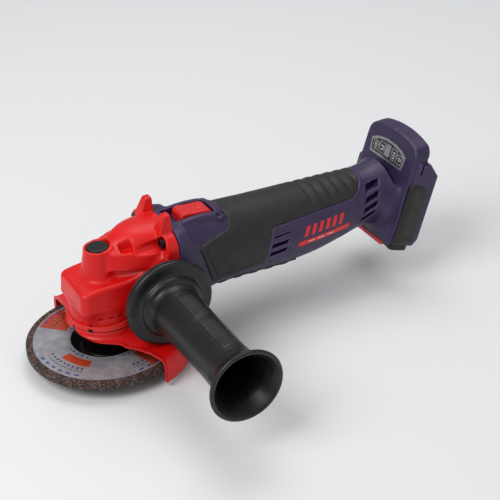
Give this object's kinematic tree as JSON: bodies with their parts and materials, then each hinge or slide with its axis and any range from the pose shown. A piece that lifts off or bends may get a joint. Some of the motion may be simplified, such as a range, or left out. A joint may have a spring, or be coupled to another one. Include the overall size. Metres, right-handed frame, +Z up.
{
  "type": "angle grinder",
  "caption": "Cordless angle grinder with a disc under a gear head, a deep guard, a side handle, a round handle body with a slide switch, and a slide-on battery foot; no battery.",
  "frame": {"origin": "centre of the spindle's lower end face", "axes": "+Z up along the spindle, from the disc to the gear head; +X from the gear head towards the battery foot; the side handle is on -Y"},
  "size_m": [0.3505, 0.236, 0.13],
  "materials": {
    "red_casting": "satin, powder coated",
    "red_steel": "satin, powder coated",
    "red_plastic": "satin moulded",
    "purple_plastic": "fine matt moulded",
    "soft_rubber": "matt overmoulded",
    "grip_plastic": "satin moulded",
    "black_plastic": "matt moulded",
    "black_steel": "black oxide",
    "bright_steel": "turned, bright",
    "gear_steel": "hardened, ground",
    "bearing_steel": "ground",
    "spring_steel": "drawn wire",
    "zinc_steel": "zinc plated",
    "lamination": "stacked sheet",
    "copper": "enamelled copper",
    "brass": "stamped",
    "ferrite": "pressed",
    "abrasive": "rough bonded grit",
    "paper_label": null,
    "label_black": null,
    "silver_trim": "metallic paint",
    "grey_key": "soft key",
    "board": "solder mask"
  },
  "bodies": {
    "housing": {"gear_housing": "red_casting", "bearing_cover": "red_casting", "cover_screws": "black_steel", "head_screws": "black_steel", "lock_spring": "spring_steel", "lower_spindle_bearing": "bearing_steel", "upper_spindle_bearing": "bearing_steel", "handle_grip": "grip_plastic", "handle_stud": "bearing_steel", "front_motor_bearing": "bearing_steel", "rear_motor_bearing": "bearing_steel", "motor_can": "zinc_steel", "magnets": "ferrite", "motor_end_cap": "black_plastic", "brush_holder": "brass", "carbon_brushes": "ferrite", "air_baffle": "black_plastic", "motor_housing": "purple_plastic", "left_shell": "purple_plastic", "right_shell": "purple_plastic", "left_grip_rubber": "soft_rubber", "right_grip_rubber": "soft_rubber", "shell_screws": "black_steel", "under_strip": "soft_rubber", "switch_block": "black_plastic", "controller": "board", "label_plate": "label_black", "label_frame": "silver_trim", "gauge_board": "board", "terminal_block": "black_plastic", "terminal_blades": "brass", "left_side_pad": "soft_rubber", "right_side_pad": "soft_rubber", "sole_pad": "soft_rubber", "foot_trim": "red_plastic"},
    "spindle_set": {"spindle": "bright_steel", "bevel_gear": "gear_steel", "inner_flange": "black_steel", "grinding_disc": "abrasive", "disc_label": "paper_label", "disc_bore_ring": "bearing_steel", "lock_nut": "bright_steel"},
    "rotor": {"rotor_shaft": "gear_steel", "pinion": "gear_steel", "cooling_fan": "black_plastic", "rotor_core": "lamination", "rotor_windings": "copper", "commutator": "copper"},
    "lock_button": {"lock_button": "black_plastic"},
    "guard": {"guard_shell": "red_steel", "guard_band": "black_steel", "guard_clamp_screw": "black_steel"},
    "slide_switch": {"slide_knob": "red_plastic", "slide_rod": "zinc_steel"},
    "charge_button": {"charge_button": "grey_key"}
  },
  "joints": [
    {"name": "spindle_spin", "type": "hinge", "parent": "housing", "child": "spindle_set", "pos_m": [0, 0, 0], "axis": [0, 0, 1], "continuous": true},
    {"name": "rotor_spin", "type": "hinge", "parent": "housing", "child": "rotor", "pos_m": [0, 0, 0.071], "axis": [1, 0, 0], "continuous": true},
    {"name": "lock_press", "type": "slide", "parent": "housing", "child": "lock_button", "axis": [0, 0, -1], "range_m": [0, 0.0025], "stiffness_N_per_m": 1500, "springref_m": -0.002, "deforming": ["lock_spring"]},
    {"name": "guard_turn", "type": "hinge", "parent": "housing", "child": "guard", "pos_m": [0, 0, 0.032], "axis": [0, 0, 1], "range_deg": [-90, 90]},
    {"name": "switch_slide", "type": "slide", "parent": "housing", "child": "slide_switch", "axis": [-1, 0, 0], "range_m": [0, 0.007]},
    {"name": "charge_press", "type": "slide", "parent": "housing", "child": "charge_button", "axis": [0.9511, 0, -0.309], "range_m": [0, 0.0006], "stiffness_N_per_m": 800, "springref_m": -0.0006}
  ],
  "couplings": [
    {"joint": "rotor_spin", "follows": "spindle_spin", "ratio": 3.6}
  ]
}
